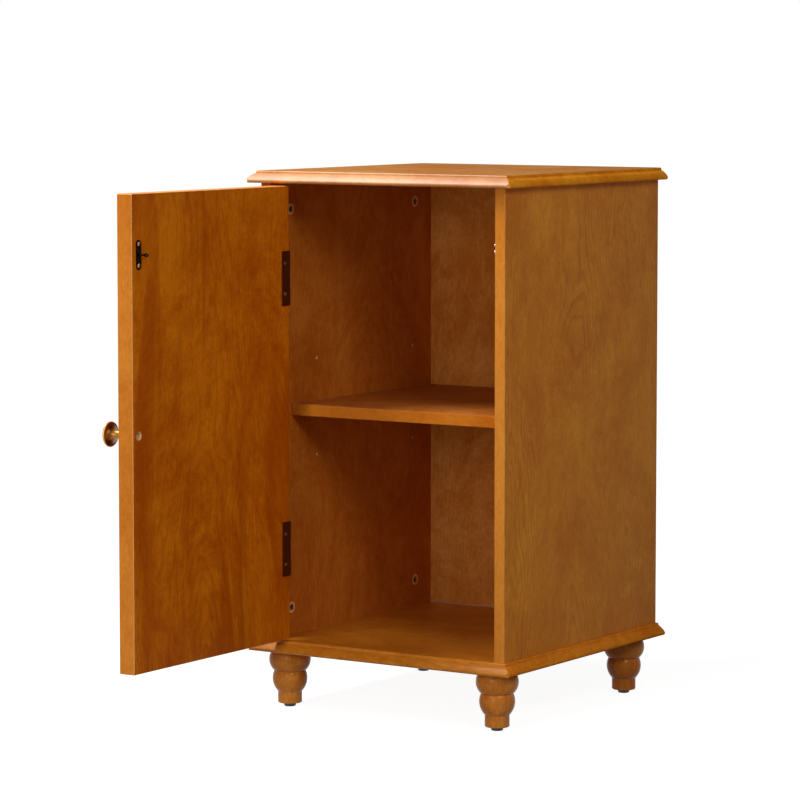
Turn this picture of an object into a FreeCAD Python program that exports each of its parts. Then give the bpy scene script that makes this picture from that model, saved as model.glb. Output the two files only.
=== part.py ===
import FreeCAD, Part
import math
import os
import re
import Sketcher

# A small floor cabinet with one inset door that stands open at a right angle.
# Frame: X to the right, Y to the back, Z up. The origin is on the floor, at the middle of the whole
# cabinet's box, open door included. All sizes are in millimetres.

# Driving dimensions
SIZES = {
    # Carcass
    "carcass_width": 374,
    "panel_depth": 396,
    "panel_height": 602,
    "panel_thickness": 15,
    "panel_edge_radius": 0.8,
    "board_thickness": 16,
    "board_overhang": 15,
    "board_corner_radius": 6,
    "cut_overrun": 1,
    # Moulded edge of the boards, measured in from its nose and down from the board's top
    "moulding_width": 12.3,
    "shoulder_radius": 2.1,
    "quirk_drop": 3.1,
    "ovolo_start_inset": 9.4,
    "ovolo_start_drop": 3.5,
    "ovolo_middle_inset": 4.5,
    "ovolo_middle_drop": 6.8,
    "nose_radius": 3,
    # Back
    "back_thickness": 5,
    "rabbet_width": 8,
    "back_clearance": 0.5,
    "back_screw_diameter": 3.5,
    "back_screw_head": 7,
    "back_screw_length": 20,
    "back_screw_end_inset": 30,
    # Shelf and its pins
    "shelf_thickness": 15.5,
    "shelf_setback": 47,
    "shelf_side_gap": 1,
    "shelf_back_gap": 2,
    "shelf_edge_radius": 1,
    "pin_diameter": 4.9,
    "pin_hole_diameter": 5,
    "pin_hole_depth": 10.2,
    "pin_depth": 10,
    "pin_reach": 8,
    "pin_chamfer": 0.5,
    "pin_front_inset": 106.5,
    "pin_back_inset": 53.7,
    "pin_row_height": 300.6,
    "pin_row_pitch": 65,
    "notch_play": 0.3,
    # Cam locks, their bolts and the dowels
    "cam_diameter": 15,
    "cam_depth": 12.5,
    "cam_edge_inset": 46,
    "cam_end_inset": 36,
    "cam_cross_length": 7,
    "cam_cross_width": 1.8,
    "cam_cross_depth": 2,
    "cam_mouth_width": 7.2,
    "bolt_diameter": 6,
    "bolt_head_diameter": 6.6,
    "bolt_head_length": 3.2,
    "bolt_neck_diameter": 4.2,
    "bolt_neck_length": 4,
    "bolt_past_cam": 2,
    "bolt_in_board": 11,
    "bolt_bore_diameter": 7.4,
    "dowel_diameter": 8,
    "dowel_in_board": 10,
    "dowel_in_panel": 20,
    "dowel_chamfer": 1,
    "dowel_from_cam": 32,
    "fit_clearance": 0.1,
    "end_clearance": 0.3,
    "dome_flat_radius": 0.3,
    # Feet, their bolts and inserts, and the glides
    "foot_side_inset": 41,
    "foot_front_inset": 41,
    "foot_back_inset": 41,
    "foot_height": 71.4,
    "foot_top_diameter": 45.3,
    "foot_bulge_diameter": 55.3,
    "foot_bulge_drop": 14.5,
    "foot_neck_diameter": 41.8,
    "foot_neck_drop": 28.4,
    "foot_ball_diameter": 46.3,
    "foot_ball_drop": 38.2,
    "foot_ball_end_drop": 56,
    "foot_toe_diameter": 32,
    "foot_toe_chamfer": 1,
    "foot_bolt_diameter": 6,
    "foot_bolt_in_foot": 30,
    "foot_bolt_in_board": 11.5,
    "insert_diameter": 10,
    "insert_length": 12,
    "glide_diameter": 15.5,
    "glide_thickness": 5,
    "glide_edge_radius": 1.5,
    "nail_diameter": 2.5,
    "nail_length": 12,
    # Door
    "door_thickness": 23,
    "door_hinge_gap": 4,
    "door_free_gap": 2,
    "door_end_gap": 3,
    "door_recess": 3,
    "door_edge_radius": 1.5,
    # Hinges
    "hinge_pin_ahead": 3,
    "hinge_pin_aside": 3,
    "hinge_end_inset": 120.4,
    "leaf_height": 71.5,
    "leaf_thickness": 1.6,
    "door_leaf_width": 17.3,
    "cabinet_leaf_start": 4,
    "cabinet_leaf_end": 27,
    "knuckle_diameter": 5.4,
    "knuckle_gap": 0.3,
    "hinge_pin_diameter": 2.4,
    "hinge_pin_tip_diameter": 4.2,
    "hinge_pin_tip_height": 1.4,
    "running_clearance": 0.06,
    "hinge_screw_diameter": 3,
    "hinge_screw_head": 5.8,
    "hinge_screw_dome": 0.8,
    "door_screw_length": 16,
    "door_screw_from_edge": 10.8,
    "door_screw_from_middle": 20,
    "cabinet_screw_length": 12,
    "cabinet_screw_back": 15.5,
    "cabinet_screw_from_middle": 24,
    # Knob and its screw
    "knob_height": 300,
    "knob_from_free_edge": 12,
    "knob_diameter": 32,
    "knob_projection": 27.5,
    "knob_rim_height": 20.6,
    "knob_rim_radius": 1.3,
    "knob_base_diameter": 12,
    "knob_neck_diameter": 10,
    "knob_neck_height": 6,
    "knob_flare_diameter": 17,
    "knob_flare_height": 15,
    "knob_screw_diameter": 4,
    "knob_screw_head": 8,
    "knob_screw_head_height": 2.6,
    "knob_screw_in_knob": 9,
    "counterbore_diameter": 12,
    "counterbore_depth": 14,
    # Striker on the door
    "strike_from_top": 78.4,
    "strike_from_free_edge": 13,
    "strike_width": 9.5,
    "strike_length": 37,
    "strike_thickness": 1.2,
    "strike_screw_from_middle": 13.3,
    "strike_screw_head": 5.4,
    "strike_screw_length": 13,
    "spear_collar_diameter": 4.4,
    "spear_collar_length": 3.3,
    "spear_neck_diameter": 2.2,
    "spear_neck_start": 4.8,
    "spear_neck_end": 8.1,
    "spear_bulb_diameter": 5.2,
    "spear_bulb_middle": 11,
    "spear_tip_diameter": 1.2,
    "spear_length": 14.8,
    # Catch on the right panel, depths measured from the panels' front edges
    "bracket_thickness": 1.2,
    "bracket_front": 29,
    "bracket_back": 48,
    "bracket_height": 46,
    "bracket_corner_radius": 2,
    "bracket_screw_depth": 38,
    "bracket_screw_from_middle": 18,
    "bracket_screw_length": 12,
    "bracket_screw_head": 6,
    "bracket_screw_head_height": 1.9,
    "stop_front": 37.6,
    "stop_back": 40.4,
    "stop_height": 6.4,
    "stop_reach": 9.4,
    "pivot_depth": 43,
    "pivot_from_middle": 6.5,
    "pivot_diameter": 2.4,
    "pivot_head_diameter": 4,
    "pivot_head_height": 0.8,
    "arm_offset": 8.2,
    "arm_thickness": 1.2,
    "arm_width": 3.2,
    "arm_hub_diameter": 5.4,
    "arm_eye_diameter": 4.4,
    "roller_depth": 34,
    "roller_from_middle": 4.3,
    "roller_diameter": 6,
    "roller_length": 10.2,
    "roller_side_gap": 0.4,
    "roller_edge_radius": 0.6,
    "axle_diameter": 2,
    "axle_head_diameter": 3.4,
    "axle_head_height": 0.8,
    "axle_tail_height": 0.3,
    "spring_diameter": 4.3,
    "spring_wire_diameter": 0.6,
    "spring_length": 5.8,
    "spring_side_gap": 0.4,
    "spring_leg_length": 7,
}

# Shares and angles of round stretches
ROUND_SHARE = 1 - math.sqrt(0.5)
NOSE_END_ANGLE = 25
NOSE_END_IN_SHARE = 1 - math.cos(math.radians(NOSE_END_ANGLE))
NOSE_END_UP_SHARE = 1 + math.sin(math.radians(NOSE_END_ANGLE))
NOSE_MIDDLE_ANGLE = (90 - NOSE_END_ANGLE) / 2
NOSE_MIDDLE_IN_SHARE = 1 - math.cos(math.radians(NOSE_MIDDLE_ANGLE))
NOSE_MIDDLE_UP_SHARE = 1 - math.sin(math.radians(NOSE_MIDDLE_ANGLE))
DOME_MIDDLE_SHARES = (0.5, 0.75)
KNOB_BELL_SHARES = (0.45, 0.62)
CROSS_WIDTH_SHARE = 0.25
CROSS_DEPTH_SHARE = 0.35
PAN_RIM_SHARE = 0.35
KNUCKLES_PER_LEAF = 3
BACK_SCREW_ROWS = 4

doc = FreeCAD.newDocument("FloorCabinet")
sheet = doc.addObject("Spreadsheet::Sheet", "Sizes")
for row, (alias, number) in enumerate(SIZES.items(), start=1):
    sheet.set(f"A{row}", alias)
    sheet.set(f"B{row}", str(number))
    sheet.setAlias(f"B{row}", alias)
doc.recompute()

# Places worked out from the driving dimensions
INNER_HALF = "(carcass_width / 2 - panel_thickness)"
BOARD_HALF = "(carcass_width / 2 + board_overhang)"
DOOR_WIDTH = "(carcass_width - 2 * panel_thickness - door_hinge_gap - door_free_gap)"
PIN_TO_HINGE_EDGE = "(door_hinge_gap - hinge_pin_aside)"
PIN_TO_FREE_EDGE = f"({PIN_TO_HINGE_EDGE} + {DOOR_WIDTH})"
PIN_TO_OUTER_FACE = "(hinge_pin_ahead + door_recess)"
PIN_TO_INNER_FACE = f"({PIN_TO_OUTER_FACE} + door_thickness)"
KNOB_REACH = f"({PIN_TO_FREE_EDGE} - knob_from_free_edge + knob_diameter / 2)"
FRONT_Y = f"(({KNOB_REACH} + hinge_pin_ahead - panel_depth) / 2)"
BACK_Y = f"({FRONT_Y} + panel_depth)"
BASE_UNDERSIDE = "(glide_thickness + foot_height)"
BASE_TOP = f"({BASE_UNDERSIDE} + board_thickness)"
CARCASS_TOP = f"({BASE_TOP} + panel_height)"
PIN_X = f"(hinge_pin_aside - {INNER_HALF})"
PIN_Y = f"({FRONT_Y} - hinge_pin_ahead)"
DOOR_TOP = "(panel_height - door_end_gap)"
HINGE_HEIGHTS = {"upper": f"({DOOR_TOP} - hinge_end_inset)", "lower": "(door_end_gap + hinge_end_inset)"}
STRIKE_HEIGHT = "(panel_height - strike_from_top)"
STRIKE_Z = f"({BASE_TOP} + {STRIKE_HEIGHT})"

FORWARD = FreeCAD.Vector(0, -1, 0)
BACKWARD = FreeCAD.Vector(0, 1, 0)
LEFTWARD = FreeCAD.Vector(-1, 0, 0)
RIGHTWARD = FreeCAD.Vector(1, 0, 0)
UPWARD = FreeCAD.Vector(0, 0, 1)
DOWNWARD = FreeCAD.Vector(0, 0, -1)

nodes = []


def linked(formula):
    """The formula with each named size tied to its cell."""
    return re.sub("[a-z_]{2,}", lambda word: "Sizes." + word.group(0), formula)


def size(formula):
    """What a formula of named sizes comes to."""
    return float(sheet.evalExpression(linked(formula)))


def new_body(name):
    body = doc.addObject("PartDesign::Body", name)
    body.Label = name
    return body


def new_node(name):
    """A body that is written to a file of its own."""
    body = new_body(name)
    nodes.append(body)
    return body


def new_sketch(body, plane_role, offset="0"):
    """A sketch on one of the body's own planes, raised along the plane's normal."""
    sketch = body.newObject("Sketcher::SketchObject", body.Name + "_sketch")
    plane = next(feature for feature in body.Origin.OriginFeatures if feature.Role == plane_role)
    sketch.AttachmentSupport = [(plane, "")]
    sketch.MapMode = "FlatFace"
    sketch.setExpression("AttachmentOffset.Base.z", linked(offset))
    return sketch


def tie_point(sketch, geometry, end, point):
    """Fixes a point of the geometry to the sketch's origin by two bound distances."""
    for kind, formula in zip(("DistanceX", "DistanceY"), point):
        tie = sketch.addConstraint(Sketcher.Constraint(kind, -1, 1, geometry, end, size(formula)))
        sketch.setExpression(f"Constraints[{tie}]", linked(formula))


def arc_through(start, middle, finish):
    """The arc through three points, and whether it runs against the clock."""
    turn = (middle - start).cross(finish - middle).z
    centre = Part.Circle(start, middle, finish).Center
    first, last = (start, finish) if turn > 0 else (finish, start)
    angles = [math.atan2(point.y - centre.y, point.x - centre.x) for point in (first, last)]
    circle = Part.Circle(centre, UPWARD, (start - centre).Length)
    return Part.ArcOfCircle(circle, angles[0], angles[1]), turn > 0


def add_outline(sketch, corners):
    """A closed outline. A corner with four sizes is reached by an arc through its last two."""
    places = [FreeCAD.Vector(size(corner[0]), size(corner[1])) for corner in corners]
    sides = []
    for index, corner in enumerate(corners):
        start, finish = places[index - 1], places[index]
        if len(corner) == 2:
            side = sketch.addGeometry(Part.LineSegment(start, finish), False)
            sides.append((side, 1, 2))
        else:
            middle = FreeCAD.Vector(size(corner[2]), size(corner[3]))
            arc, forwards = arc_through(start, middle, finish)
            side = sketch.addGeometry(arc, False)
            sides.append((side, 1, 2) if forwards else (side, 2, 1))
            mark = sketch.addGeometry(Part.Point(middle), True)
            tie_point(sketch, mark, 1, corner[2:])
            sketch.addConstraint(Sketcher.Constraint("PointOnObject", mark, 1, side))
    for index, corner in enumerate(corners):
        side, _, finish_end = sides[index]
        next_side, next_start, _ = sides[(index + 1) % len(sides)]
        sketch.addConstraint(Sketcher.Constraint("Coincident", side, finish_end, next_side, next_start))
        tie_point(sketch, side, finish_end, corner[:2])


def add_rectangle(sketch, left, bottom, right, top):
    add_outline(sketch, [(left, bottom), (right, bottom), (right, top), (left, top)])


def add_circle(sketch, centre, diameter):
    centre_point = FreeCAD.Vector(size(centre[0]), size(centre[1]))
    ring = sketch.addGeometry(Part.Circle(centre_point, UPWARD, size(diameter) / 2), False)
    tie_point(sketch, ring, 3, centre)
    tie = sketch.addConstraint(Sketcher.Constraint("Diameter", ring, size(diameter)))
    sketch.setExpression(f"Constraints[{tie}]", linked(diameter))


def pad(body, sketch, length, against=False):
    """Pads the sketch along its plane's normal, or against it."""
    feature = body.newObject("PartDesign::Pad", body.Name + "_pad")
    feature.Profile = sketch
    feature.setExpression("Length", linked(length))
    feature.Reversed = against
    doc.recompute()
    return feature


def cut(body, sketch, depth=None, along=False):
    """Pockets the sketch against its plane's normal, or along it, or both ways right through."""
    before = body.Shape.Volume
    feature = body.newObject("PartDesign::Pocket", body.Name + "_pocket")
    feature.Profile = sketch
    if depth is None:
        feature.Type = "ThroughAll"
        feature.SideType = "Symmetric"
    else:
        feature.setExpression("Length", linked(depth))
        feature.Reversed = along
    doc.recompute()
    if not body.Shape.Volume < before:
        raise ValueError(f"{feature.Name} cuts nothing")
    return feature


def drill(body, plane_role, offset, centres, diameter, depth=None, along=False):
    """Round holes of one diameter at the given centres."""
    sketch = new_sketch(body, plane_role, offset)
    for centre in centres:
        add_circle(sketch, centre, diameter)
    return cut(body, sketch, depth, along)


def countersink(body, plane_role, offset, centres, diameter, head_diameter):
    """Countersunk holes right through, with the clearance all round."""
    before = body.Shape.Volume
    sketch = new_sketch(body, plane_role, offset)
    bore = f"({diameter} + 2 * fit_clearance)"
    for centre in centres:
        add_circle(sketch, centre, bore)
    doc.recompute()
    feature = body.newObject("PartDesign::Hole", body.Name + "_hole")
    feature.Profile = sketch
    doc.recompute()
    feature.DepthType = "ThroughAll"
    feature.HoleCutType = "Countersink"
    feature.HoleCutCountersinkAngle = 90
    feature.setExpression("Diameter", linked(bore))
    feature.setExpression("HoleCutDiameter", linked(f"{head_diameter} + 2 * fit_clearance"))
    doc.recompute()
    if not body.Shape.Volume < before:
        raise ValueError(f"{feature.Name} cuts nothing")


def turn_about_z(body, corners):
    """Revolves an outline of radius and height about the body's Z axis."""
    sketch = new_sketch(body, "XZ_Plane")
    add_outline(sketch, corners)
    feature = body.newObject("PartDesign::Revolution", body.Name + "_turning")
    feature.Profile = sketch
    feature.ReferenceAxis = (sketch, ["V_Axis"])
    doc.recompute()
    return feature


def dome(rim, level, height):
    """The last corners of a turned outline: a low dome up from the rim, with a tiny flat on the axis."""
    top = f"{level} + {height}"
    middle = (f"{rim} * {DOME_MIDDLE_SHARES[0]}", f"{level} + {height} * {DOME_MIDDLE_SHARES[1]}")
    return [("dome_flat_radius", top) + middle, ("0", top)]


def round_edges(body, radius, is_chosen):
    """Rounds the edges for which the test of their two end points holds."""
    base = body.Tip
    names = []
    for number, edge in enumerate(base.Shape.Edges, start=1):
        if len(edge.Vertexes) == 2 and is_chosen(edge.Vertexes[0].Point, edge.Vertexes[1].Point):
            names.append(f"Edge{number}")
    feature = body.newObject("PartDesign::Fillet", body.Name + "_rounding")
    feature.Base = (base, names)
    feature.setExpression("Radius", linked(radius))
    doc.recompute()
    return feature


def place(piece, x="0", y="0", z="0", rotation=FreeCAD.Rotation()):
    """Puts a piece at a place worked out from the sizes."""
    piece.Placement = FreeCAD.Placement(FreeCAD.Vector(), rotation)
    for axis, formula in zip("xyz", (x, y, z)):
        piece.setExpression("Placement.Base." + axis, linked(formula))


def facing(direction):
    """The rotation that turns a piece's Z axis to the direction."""
    return FreeCAD.Rotation(UPWARD, direction)


def new_group(name, original, places):
    """One node that holds a copy of the original at each place."""
    copies = []
    for x, y, z, rotation in places:
        copy = doc.addObject("App::Link", name + "_copy")
        copy.LinkedObject = original
        place(copy, x, y, z, rotation)
        copies.append(copy)
    group = doc.addObject("Part::Compound", name)
    group.Label = name
    group.Links = copies
    nodes.append(group)
    doc.recompute()
    return group


def add_cross(body, top, length, width, depth):
    """A cross recess, sunk from the top level."""
    sketch = new_sketch(body, "XY_Plane", top)
    far, near = f"({length} / 2)", f"({width} / 2)"
    add_outline(sketch, [
        (far, near), (near, near), (near, far), (f"-{near}", far), (f"-{near}", near), (f"-{far}", near),
        (f"-{far}", f"-{near}"), (f"-{near}", f"-{near}"), (f"-{near}", f"-{far}"), (near, f"-{far}"),
        (near, f"-{near}"), (far, f"-{near}"),
    ])
    cut(body, sketch, depth)


def new_wood_screw(name, diameter, head, length, dome_height=None):
    """A countersunk wood screw whose head's rim lies at height nought, flat or with a low dome."""
    body = new_body(name)
    shank, rim = f"({diameter} / 2)", f"({head} / 2)"
    corners = [
        ("0", f"-{length}"),
        (shank, f"{diameter} - {length}"),
        (shank, f"{shank} - {rim}"),
        (rim, "0"),
    ]
    corners += dome(rim, "0", dome_height) if dome_height else [("0", "0")]
    turn_about_z(body, corners)
    add_cross(body, dome_height or "0", diameter, f"{diameter} * {CROSS_WIDTH_SHARE}",
              f"{diameter} * {CROSS_DEPTH_SHARE}")
    return body


def new_pan_screw(name, diameter, head, head_height, length):
    """A screw with a raised head that sits on the surface at height nought."""
    body = new_body(name)
    shank, rim = f"({diameter} / 2)", f"({head} / 2)"
    rim_height = f"{head_height} * {PAN_RIM_SHARE}"
    turn_about_z(body, [
        ("0", f"-{length}"),
        (shank, f"{shank} - {length}"),
        (shank, "0"),
        (rim, "0"),
        (rim, rim_height),
    ] + dome(rim, rim_height, f"({head_height} - {rim_height})"))
    add_cross(body, head_height, diameter, f"{diameter} * {CROSS_WIDTH_SHARE}", f"{head_height} / 2")
    return body


# Places of the fasteners in plan, measured from the panels' front edges
CAM_DEPTHS = ("cam_edge_inset", "(panel_depth - cam_edge_inset)")
DOWEL_DEPTHS = ("(cam_edge_inset + dowel_from_cam)", "(panel_depth - cam_edge_inset - dowel_from_cam)")
SIDES = {"left": -1, "right": 1}
PANEL_MIDDLE = f"({INNER_HALF} + panel_thickness / 2)"


def panel_places(depths):
    """Points over the middles of the side panels' ends."""
    return [(f"{side} * {PANEL_MIDDLE}", depth) for side in SIDES.values() for depth in depths]


# Top and base boards: a flat board with a moulded edge on its front and both sides, square at the back.
def add_moulding_waste(sketch, edge, inward):
    """What the cutter takes off an edge: outside of nose, ovolo, quirk and shoulder, from the bottom up."""
    def at(inset, level):
        return f"{edge} + {inward} * ({inset})", level

    add_outline(sketch, [
        at("nose_radius", "-cut_overrun"),
        at("nose_radius", "0"),
        at(f"nose_radius * {NOSE_END_IN_SHARE}", f"nose_radius * {NOSE_END_UP_SHARE}")
        + at(f"nose_radius * {NOSE_MIDDLE_IN_SHARE}", f"nose_radius * {NOSE_MIDDLE_UP_SHARE}"),
        at("ovolo_start_inset", "board_thickness - ovolo_start_drop")
        + at("ovolo_middle_inset", "board_thickness - ovolo_middle_drop"),
        at("moulding_width - shoulder_radius", "board_thickness - quirk_drop"),
        at("moulding_width - shoulder_radius", "board_thickness - shoulder_radius"),
        at("moulding_width", "board_thickness")
        + at(f"moulding_width - shoulder_radius * (1 - {ROUND_SHARE})",
             f"board_thickness - shoulder_radius * {ROUND_SHARE}"),
        at("moulding_width", "board_thickness + cut_overrun"),
        at("-cut_overrun", "board_thickness + cut_overrun"),
        at("-cut_overrun", "-cut_overrun"),
    ])


def add_board(name, underside, joint_face, joint_upwards):
    """A moulded board, bored from its joint face for bolts and dowels."""
    board = new_node(name)
    plan = new_sketch(board, "XY_Plane")
    right, front = BOARD_HALF, "-board_overhang"
    arc_gap = f"board_corner_radius * {ROUND_SHARE}"
    add_outline(plan, [
        (f"{right} - board_corner_radius", front),
        (right, f"{front} + board_corner_radius", f"{right} - {arc_gap}", f"{front} + {arc_gap}"),
        (right, "panel_depth"),
        (f"-{right}", "panel_depth"),
        (f"-{right}", f"{front} + board_corner_radius"),
        (f"board_corner_radius - {right}", front, f"{arc_gap} - {right}", f"{front} + {arc_gap}"),
    ])
    pad(board, plan, "board_thickness")
    front_waste = new_sketch(board, "YZ_Plane")
    add_moulding_waste(front_waste, front, 1)
    cut(board, front_waste)
    side_waste = new_sketch(board, "XZ_Plane")
    add_moulding_waste(side_waste, right, -1)
    add_moulding_waste(side_waste, f"-{right}", 1)
    cut(board, side_waste)
    drill(board, "XY_Plane", joint_face, panel_places(CAM_DEPTHS), "(bolt_diameter + 2 * fit_clearance)",
          "(bolt_in_board + end_clearance)", joint_upwards)
    drill(board, "XY_Plane", joint_face, panel_places(DOWEL_DEPTHS), "(dowel_diameter + 2 * fit_clearance)",
          "(dowel_in_board + end_clearance)", joint_upwards)
    place(board, "0", FRONT_Y, underside)
    return board


FOOT_X = "(carcass_width / 2 + board_overhang - foot_side_inset)"
FOOT_DEPTHS = {"front": "(foot_front_inset - board_overhang)", "back": "(panel_depth - foot_back_inset)"}
FOOT_PLACES = {
    f"{end}_{side}": (f"{sign} * {FOOT_X}", depth)
    for end, depth in FOOT_DEPTHS.items()
    for side, sign in SIDES.items()
}

add_board("top_board", CARCASS_TOP, "0", True)
base_board = add_board("base_board", BASE_UNDERSIDE, "board_thickness", False)
drill(base_board, "XY_Plane", "0", FOOT_PLACES.values(), "(insert_diameter + 2 * fit_clearance)",
      "(insert_length + end_clearance)", True)

# Side panels: each has a rabbet for the back, bores for cams, bolts and dowels, and three rows of pin holes.
PIN_DEPTHS = ("pin_front_inset", "(panel_depth - pin_back_inset)")
PIN_ROWS = ("(pin_row_height - pin_row_pitch)", "pin_row_height", "(pin_row_height + pin_row_pitch)")
CAM_LEVELS = {"bottom": "cam_end_inset", "top": "(panel_height - cam_end_inset)"}
HINGE_SCREW_DEPTH = "(cabinet_screw_back - hinge_pin_ahead)"
HINGE_SCREW_SPOTS = [
    (HINGE_SCREW_DEPTH, f"({height} + {sign} * cabinet_screw_from_middle)")
    for height in HINGE_HEIGHTS.values()
    for sign in (-1, 1)
]
BRACKET_SCREW_SPOTS = [
    ("bracket_screw_depth", f"({STRIKE_HEIGHT} + {sign} * bracket_screw_from_middle)") for sign in (-1, 1)
]
BACK_SCREW_HEIGHTS = [
    f"(back_screw_end_inset + {row} * (panel_height - 2 * back_screw_end_inset) / {BACK_SCREW_ROWS - 1})"
    for row in range(BACK_SCREW_ROWS)
]
BACK_SCREW_BORE = "(back_screw_diameter + 2 * fit_clearance)"


def add_side_panel(name, sign, screw_spots, screw_bore, screw_depth):
    """A side panel whose inner face is the body's YZ plane, with material on the side of the sign."""
    panel = new_node(name)
    outwards = sign > 0
    plan = new_sketch(panel, "XY_Plane")
    add_outline(plan, [
        ("0", "0"),
        (f"{sign} * panel_thickness", "0"),
        (f"{sign} * panel_thickness", "panel_depth"),
        (f"{sign} * rabbet_width", "panel_depth"),
        (f"{sign} * rabbet_width", "panel_depth - back_thickness"),
        ("0", "panel_depth - back_thickness"),
    ])
    pad(panel, plan, "panel_height")
    round_edges(panel, "panel_edge_radius", lambda a, b: abs(a.y) + abs(b.y) < size("panel_edge_radius")
                and abs(a.z - b.z) > size("panel_thickness"))
    pin_holes = [(depth, row) for depth in PIN_DEPTHS for row in PIN_ROWS]
    drill(panel, "YZ_Plane", "0", pin_holes, "pin_hole_diameter", "pin_hole_depth", outwards)
    cam_spots = [(depth, level) for depth in CAM_DEPTHS for level in CAM_LEVELS.values()]
    drill(panel, "YZ_Plane", "0", cam_spots, "cam_diameter", "cam_depth", outwards)
    middle = f"{sign} * panel_thickness / 2"
    for level, upwards in (("0", True), ("panel_height", False)):
        drill(panel, "XY_Plane", level, [(middle, depth) for depth in CAM_DEPTHS], "bolt_bore_diameter",
              "cam_end_inset", upwards)
        drill(panel, "XY_Plane", level, [(middle, depth) for depth in DOWEL_DEPTHS],
              "(dowel_diameter + 2 * fit_clearance)", "(dowel_in_panel + end_clearance)", upwards)
    drill(panel, "YZ_Plane", "0", screw_spots, screw_bore, screw_depth, outwards)
    back_spots = [(f"{sign} * rabbet_width / 2", row) for row in BACK_SCREW_HEIGHTS]
    drill(panel, "XZ_Plane", "back_thickness - panel_depth", back_spots, BACK_SCREW_BORE,
          "(back_screw_length - back_thickness + end_clearance)", True)
    place(panel, f"{sign} * {INNER_HALF}", FRONT_Y, BASE_TOP)


SCREW_BORE = "(hinge_screw_diameter + 2 * fit_clearance)"
add_side_panel("left_side_panel", SIDES["left"], HINGE_SCREW_SPOTS, SCREW_BORE,
               "(cabinet_screw_length - leaf_thickness + end_clearance)")
add_side_panel("right_side_panel", SIDES["right"], BRACKET_SCREW_SPOTS, SCREW_BORE,
               "(bracket_screw_length - bracket_thickness + end_clearance)")

# Back: a thin panel in the rabbets, flush with the side panels' back edges, held by countersunk screws.
# Its body is turned half round, so that its outer face is the body's XZ plane.
BACK_HALF = f"({INNER_HALF} + rabbet_width - back_clearance)"
BACK_SCREW_X = f"({INNER_HALF} + rabbet_width / 2)"
back_panel = new_node("back_panel")
back_sketch = new_sketch(back_panel, "XZ_Plane")
add_rectangle(back_sketch, f"-{BACK_HALF}", "back_clearance", BACK_HALF, "panel_height - back_clearance")
pad(back_panel, back_sketch, "back_thickness", True)
countersink(back_panel, "XZ_Plane", "0",
            [(f"{sign} * {BACK_SCREW_X}", row) for sign in SIDES.values() for row in BACK_SCREW_HEIGHTS],
            "back_screw_diameter", "back_screw_head")
place(back_panel, "0", BACK_Y, BASE_TOP, FreeCAD.Rotation(UPWARD, 180))

back_screw = new_wood_screw("back_screw", "back_screw_diameter", "back_screw_head", "back_screw_length")
new_group("back_screws", back_screw, [
    (f"{sign} * {BACK_SCREW_X}", BACK_Y, f"{BASE_TOP} + {row}", facing(BACKWARD))
    for sign in SIDES.values()
    for row in BACK_SCREW_HEIGHTS
])

# Cam locks: a steel drum in each round bore, with a cross recess in its face and a mouth for the bolt's head.
cam_lock = new_body("cam_lock")
turn_about_z(cam_lock, [
    ("0", "end_clearance - cam_depth"),
    ("cam_diameter / 2 - fit_clearance", "end_clearance - cam_depth"),
    ("cam_diameter / 2 - fit_clearance", "0"),
    ("0", "0"),
])
add_cross(cam_lock, "0", "cam_cross_length", "cam_cross_width", "cam_cross_depth")
mouth = new_sketch(cam_lock, "XZ_Plane", "bolt_past_cam + end_clearance")
add_rectangle(mouth, "-cam_mouth_width / 2", "-(panel_thickness + cam_mouth_width) / 2",
              "cam_mouth_width / 2", "(cam_mouth_width - panel_thickness) / 2")
cut(cam_lock, mouth, "cam_diameter")


def cam_rotation(sign, level):
    """The drum's face looks into the cabinet and its mouth looks at the nearer board."""
    face = RIGHTWARD if sign < 0 else LEFTWARD
    mouth_way = UPWARD if level == "top" else DOWNWARD
    return FreeCAD.Rotation(mouth_way.cross(face), mouth_way, face, "ZYX")


new_group("cam_locks", cam_lock, [
    (f"{sign} * {INNER_HALF}", f"{FRONT_Y} + {depth}", f"{BASE_TOP} + {height}", cam_rotation(sign, level))
    for sign in SIDES.values()
    for depth in CAM_DEPTHS
    for level, height in CAM_LEVELS.items()
])

# Cam bolts: screwed into the boards, with a neck and a head inside the drum.
HEAD_END = "(cam_end_inset + bolt_past_cam)"
cam_bolt = new_body("cam_bolt")
turn_about_z(cam_bolt, [
    ("0", f"-{HEAD_END}"),
    ("bolt_head_diameter / 2", f"-{HEAD_END}"),
    ("bolt_head_diameter / 2", f"bolt_head_length - {HEAD_END}"),
    ("bolt_neck_diameter / 2", f"bolt_head_length - {HEAD_END}"),
    ("bolt_neck_diameter / 2", f"bolt_head_length + bolt_neck_length - {HEAD_END}"),
    ("bolt_diameter / 2", f"bolt_head_length + bolt_neck_length - {HEAD_END}"),
    ("bolt_diameter / 2", "bolt_in_board"),
    ("0", "bolt_in_board"),
])

# Wood dowels: they place the panels' ends on the boards.
dowel = new_body("wood_dowel")
turn_about_z(dowel, [
    ("0", "-dowel_in_panel"),
    ("dowel_diameter / 2 - dowel_chamfer", "-dowel_in_panel"),
    ("dowel_diameter / 2", "dowel_chamfer - dowel_in_panel"),
    ("dowel_diameter / 2", "dowel_in_board - dowel_chamfer"),
    ("dowel_diameter / 2 - dowel_chamfer", "dowel_in_board"),
    ("0", "dowel_in_board"),
])


def both_joint_places(depths):
    """Places at the top and bottom ends of both panels, pointing into the boards."""
    ends = ((CARCASS_TOP, FreeCAD.Rotation()), (BASE_TOP, FreeCAD.Rotation(RIGHTWARD, 180)))
    return [
        (x, f"{FRONT_Y} + {depth}", level, way)
        for x, depth in panel_places(depths)
        for level, way in ends
    ]


new_group("cam_bolts", cam_bolt, both_joint_places(CAM_DEPTHS))
new_group("wood_dowels", dowel, both_joint_places(DOWEL_DEPTHS))

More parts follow.
